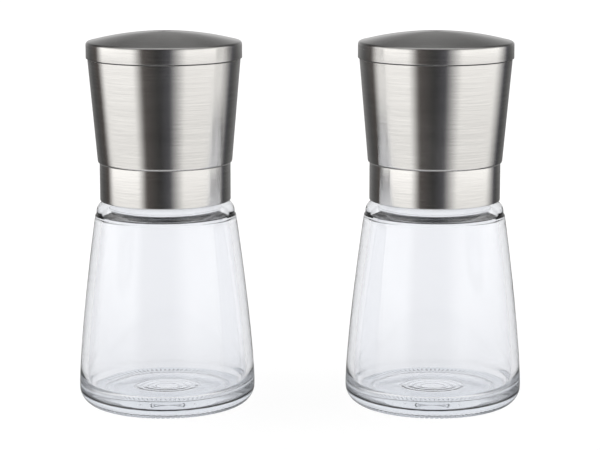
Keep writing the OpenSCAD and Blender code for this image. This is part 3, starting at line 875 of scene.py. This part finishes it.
finishPiece(makeSpindle(), "spindle", "collar", wireSteel)


# spring under the turning burr
springShape = {"coil": 4.586, "wire": 0.4, "coils": 7, "steps": 40, "sides": 12,
               "close": 0.92,           # rise of the first and the last coil, which lie nearly closed
               "hold": 0.0008}          # how much of each end keeps still, in metres


def springRise(turn, height, shape=springShape):
    # how high the wire's middle has risen after so many turns
    last = shape["coils"] - 1
    pitch = (height - 2 * shape["close"]) / (last - 1)
    if turn < 1:
        return shape["close"] * turn
    if turn > last:
        return height - shape["close"] * (shape["coils"] - turn)
    return shape["close"] + pitch * (turn - 1)


def makeSpring(shape=springShape):
    low, high = nodeSpan("spring")[1:]
    start = low + shape["wire"]
    height = high - low - 2 * shape["wire"]
    deselectAll()
    bpy.ops.mesh.primitive_circle_add(vertices=shape["sides"], radius=shape["wire"] * mm, fill_type="NOTHING",
                                      location=(shape["coil"] * mm, 0, 0), rotation=(math.pi / 2, 0, 0))
    spring = bpy.context.object
    spring.name = "salt_coil_spring"
    settle(spring)
    coil = spring.modifiers.new("coil", "SCREW")
    coil.axis = "Z"
    coil.angle = 2 * math.pi
    coil.screw_offset = height / shape["coils"] * mm
    coil.iterations = shape["coils"]
    coil.steps = shape["steps"]
    coil.render_steps = shape["steps"]
    applyAll(spring)
    for i, v in enumerate(spring.data.vertices):
        turn = i // shape["sides"] / shape["steps"]
        v.co.z += (start + springRise(turn, height) - height * turn / shape["coils"]) * mm
        v.co.x += saltX
    bpy.ops.object.mode_set(mode="EDIT")
    bpy.ops.mesh.select_all(action="SELECT")
    bpy.ops.mesh.fill_holes(sides=0)
    bpy.ops.mesh.select_all(action="SELECT")
    bpy.ops.mesh.normals_make_consistent(inside=False)
    bpy.ops.object.mode_set(mode="OBJECT")
    smooth(spring, 50)
    return spring


for mill, spring in zip(millNames, finishPiece(makeSpring(), "spring", None, wireSteel)):
    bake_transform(spring)


# knob on the spindle's screwed end: a ribbed base with a finger wing
knobShape = {"base": 2.6, "wing": 3.4, "wingShort": 1.1, "wingSink": 0.6, "wingSoft": 0.5, "boss": 3.7,
             "bore": 2.6, "boreTop": 4.35, "ribs": 24, "ribDepth": 0.28}


def makeKnob(shape=knobShape):
    radius, low, high = nodeSpan("adjuster_knob")
    baseTop = low + shape["base"]
    boreTop = low + shape["boreTop"]
    outline = softened([
        (0, low), (radius - 0.3, low, 0.2), (radius, low + 0.3, 0.2), (radius, baseTop - 0.5, 0.3),
        (radius - 0.6, baseTop, 0.3), (shape["boss"], baseTop, 0.4), (shape["boss"], high, 0.4), (0, high)],
        closed=False, steps=4)
    knob = turned("salt_grind_knob", outline, closed=False, segments=shape["ribs"] * 8)
    reshape(knob, lambda r, angle, z: r - shape["ribDepth"] * (0.5 - 0.5 * math.cos(shape["ribs"] * angle))
            if r > radius - 0.5 and z < baseTop - 0.1 else r)
    wing = block(0, 0, 2 * radius - shape["wingShort"], shape["wing"], baseTop - shape["wingSink"], high,
                 shape["wingSoft"])
    combine(knob, wing, "UNION")
    hole = turned("bore", [(0, low - 1), (shape["bore"], low - 1), (shape["bore"], boreTop), (0, boreTop)],
                  closed=False, segments=48)
    combine(knob, hole, "DIFFERENCE")
    smooth(knob)
    return knob


finishPiece(makeKnob(), "adjuster_knob", "knob", blackPlastic)


# nodes that keep their shape and only get a material: burrs, retaining ring and collar core
nodeMaterials = {"outer_burr": ceramic, "inner_burr": ceramic, "retaining_ring": wireSteel,
                 "collar_core": blackPlastic}
for name, node in frame["nodes"].items():
    if node.hide_render:
        continue
    node.visible_glossy = False
    node.data.materials.clear()
    node.data.materials.append(nodeMaterials[name.split("_", 1)[1]])
print("burrs, retaining rings and collar cores dressed")


studio = {
    "cameraDistance": 0.8,
    "cameraHeight": 0.207,
    "cameraPitch": 9.96,
    "lens": 132.06,
    "sensor": 36,
    "floorReach": 9.0,
    "floorColour": (0.98, 0.98, 0.98),
    "floorRoughness": 0.9,
    "floorGloss": 0.1,
    "skyStrength": 1.14,
    # what the steel mirrors: two softboxes in a dim room. Each is start, end and soft edge in degrees to the
    # right of the camera, then its light and the gloom beside it
    "softboxes": [
        (-115, -30, 15, (1.05, 1.04, 1.02), (0.08, 0.07, 0.065)),
        (12, 124, 25, (1.0, 0.99, 0.97), (0.07, 0.07, 0.08)),
    ],
    "frontGloom": (0.02, 0.02, 0.02),
    "sideGloom": (0.08, 0.08, 0.08),
    "backGlow": (0.3, 0.3, 0.3),
    # how that changes with height: the sine of the direction's angle over level, and the share of the light
    "fade": [(-0.1, 1), (0.0, 2.2), (0.2, 1.4), (0.5, 0.4), (1, 0.2)],
    "panelScale": 2.0,          # a ramp's colours stop at 1, so both ramps are held this much smaller
    "fadeScale": 2.5,
    # what is mirrored steeply downwards and upwards: where it starts, where it is full, and its brightness
    "glows": [(-0.74, -0.88, 0.8), (0.74, 0.94, 0.5)],
}


def makeFloor(values=studio):
    deselectAll()
    bpy.ops.mesh.primitive_plane_add(size=values["floorReach"], location=(0, 0, 0))
    floor = bpy.context.object
    floor.name = "studio_floor"
    material, _, shader = newMaterial("paleFloor")
    shader.inputs["Base Color"].default_value = (*values["floorColour"], 1)
    shader.inputs["Roughness"].default_value = values["floorRoughness"]
    shader.inputs["Specular IOR Level"].default_value = values["floorGloss"]
    floor.data.materials.append(material)
    floor.visible_glossy = False


def makeCamera(values=studio):
    camera = bpy.data.objects.new("camera", bpy.data.cameras.new("camera"))
    bpy.context.scene.collection.objects.link(camera)
    camera.location = (0, -values["cameraDistance"], values["cameraHeight"])
    camera.rotation_euler = (math.radians(90 - values["cameraPitch"]), 0, 0)
    camera.data.lens = values["lens"]
    camera.data.sensor_width = values["sensor"]
    bpy.context.scene.camera = camera


def makeWorld(values=studio):
    world = bpy.data.worlds.new("studio")
    bpy.context.scene.world = world
    world.use_nodes = True
    tree = world.node_tree
    background = tree.nodes["Background"]
    ray = tree.nodes.new("ShaderNodeTexCoord").outputs["Generated"]
    split = tree.nodes.new("ShaderNodeSeparateXYZ")
    link(tree, ray, split.inputs[0])
    # azimuth: 0 towards the camera's side, growing to its right
    azimuth = mathNode(tree, "ARCTAN2", split.outputs[0], mathNode(tree, "MULTIPLY", split.outputs[1], -1))
    turn = mathNode(tree, "ADD", mathNode(tree, "DIVIDE", azimuth, 2 * math.pi), 0.5)
    gain = values["panelScale"] * values["fadeScale"]
    shrink = values["panelScale"] * values["skyStrength"]
    bands = [(-180, values["backGlow"]), (-135, values["sideGloom"]), (-5, values["frontGloom"]),
             (135, values["sideGloom"]), (180, values["backGlow"])]
    for start, end, edge, light, gloom in values["softboxes"]:
        bands += [(start, gloom), (start + edge, light), (end - edge, light), (end, gloom)]
    stops = [((angle + 180) / 360, [part / shrink for part in colour]) for angle, colour in sorted(bands)]
    panels = rampNode(tree, turn, stops)
    rise = mathNode(tree, "MULTIPLY_ADD", split.outputs[2], 0.5)
    rise.node.inputs[2].default_value = 0.5
    height = rampNode(tree, rise, [((sine + 1) / 2, (share / values["fadeScale"],) * 3)
                                   for sine, share in values["fade"]])
    mirrored = tree.nodes.new("ShaderNodeMix")
    mirrored.data_type = "RGBA"
    mirrored.blend_type = "MULTIPLY"
    mirrored.inputs[0].default_value = 1
    link(tree, panels, mirrored.inputs[6])
    link(tree, height, mirrored.inputs[7])
    seen = mirrored.outputs[2]          # what mirror rays see, all others see an even white
    for start, end, level in values["glows"]:
        glow = tree.nodes.new("ShaderNodeMix")
        glow.data_type = "RGBA"
        link(tree, rangeNode(tree, split.outputs[2], start, end, 0, 1), glow.inputs[0])
        link(tree, seen, glow.inputs[6])
        glow.inputs[7].default_value = (*[level / gain] * 3, 1)
        seen = glow.outputs[2]
    choose = tree.nodes.new("ShaderNodeMix")
    choose.data_type = "RGBA"
    path = tree.nodes.new("ShaderNodeLightPath")
    through = mathNode(tree, "SUBTRACT", 1, path.outputs["Is Transmission Ray"])
    link(tree, mathNode(tree, "MULTIPLY", path.outputs["Is Glossy Ray"], through), choose.inputs[0])
    choose.inputs[6].default_value = (1 / gain, 1 / gain, 1 / gain, 1)
    link(tree, seen, choose.inputs[7])
    link(tree, choose.outputs[2], background.inputs[0])
    background.inputs[1].default_value = values["skyStrength"] * gain


makeFloor()
makeCamera()
makeWorld()
bpy.context.scene.view_settings.view_transform = "Standard"
print("studio set")
